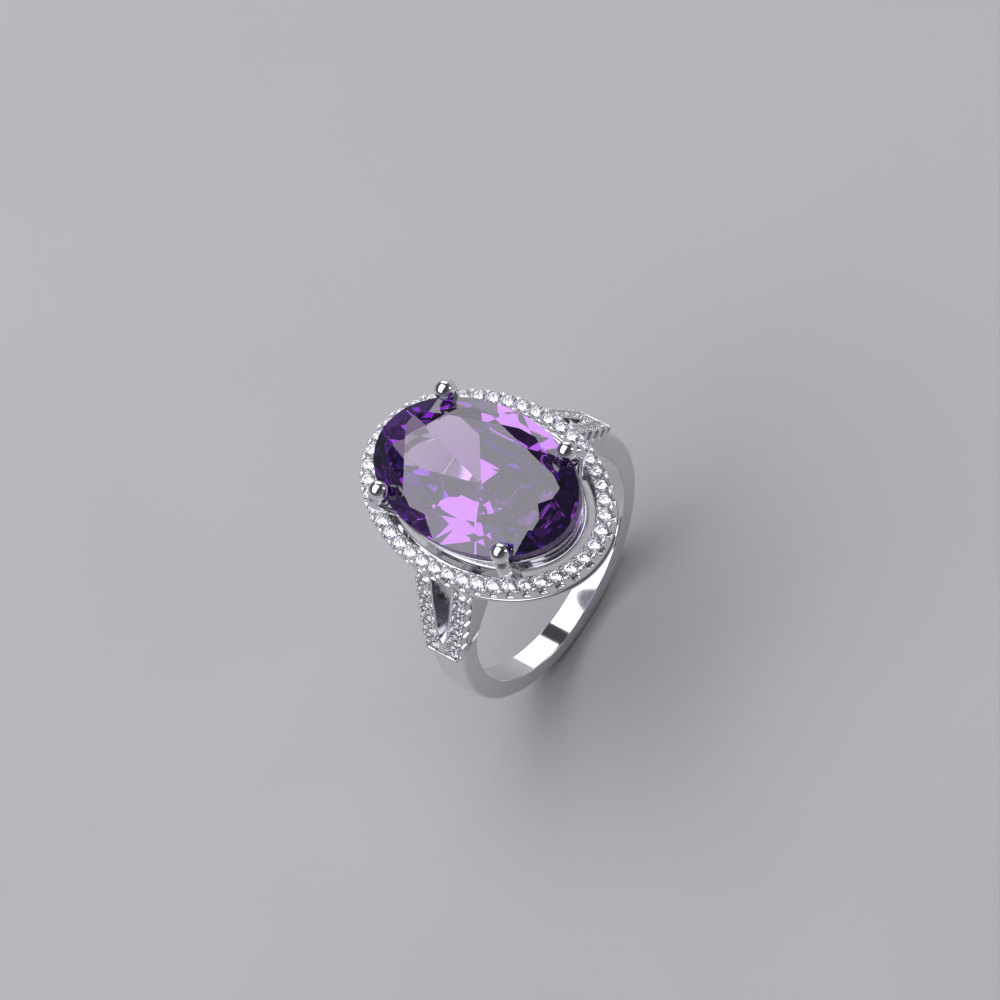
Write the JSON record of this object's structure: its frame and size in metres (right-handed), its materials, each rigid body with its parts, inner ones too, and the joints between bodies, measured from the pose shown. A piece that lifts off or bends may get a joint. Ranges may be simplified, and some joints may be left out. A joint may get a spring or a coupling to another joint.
{
  "type": "cocktail ring",
  "caption": "Cocktail ring with a large faceted oval stone in a claw-set head, a stone-set oval halo over an open gallery, and split stone-set shoulders running into a plain tapered hoop.",
  "frame": {"origin": "centre of the finger hole, on its axis and midway across the hoop's width", "axes": "+Y along the finger, which is also the large stone's long direction; +Z from the finger hole's centre out through the stone's table; +X across the finger, towards the right shoulder"},
  "size_m": [0.0206, 0.0196, 0.0261],
  "materials": {
    "polished_silver": "bright rhodium-plated silver, mirror polish",
    "white_stone": "colourless brilliant-cut stone, polished facets",
    "purple_stone": "amethyst-purple mixed-cut stone, polished facets"
  },
  "bodies": {
    "root": {"hoop": "polished_silver", "rail_left_front": "polished_silver", "rail_left_back": "polished_silver", "rail_right_front": "polished_silver", "rail_right_back": "polished_silver", "rail_stones_left_front": "white_stone", "rail_stones_left_back": "white_stone", "rail_stones_right_front": "white_stone", "rail_stones_right_back": "white_stone", "halo_plate": "polished_silver", "halo_stones": "white_stone", "gallery_rail_front": "polished_silver", "gallery_rail_back": "polished_silver", "gallery_arches_front": "polished_silver", "gallery_arches_back": "polished_silver", "inner_gallery": "polished_silver", "base_bearer": "polished_silver", "collet": "polished_silver", "claw_left_front": "polished_silver", "claw_left_back": "polished_silver", "claw_right_front": "polished_silver", "claw_right_back": "polished_silver", "halo_bridges": "polished_silver", "centre_stone": "purple_stone"}
  },
  "joints": []
}
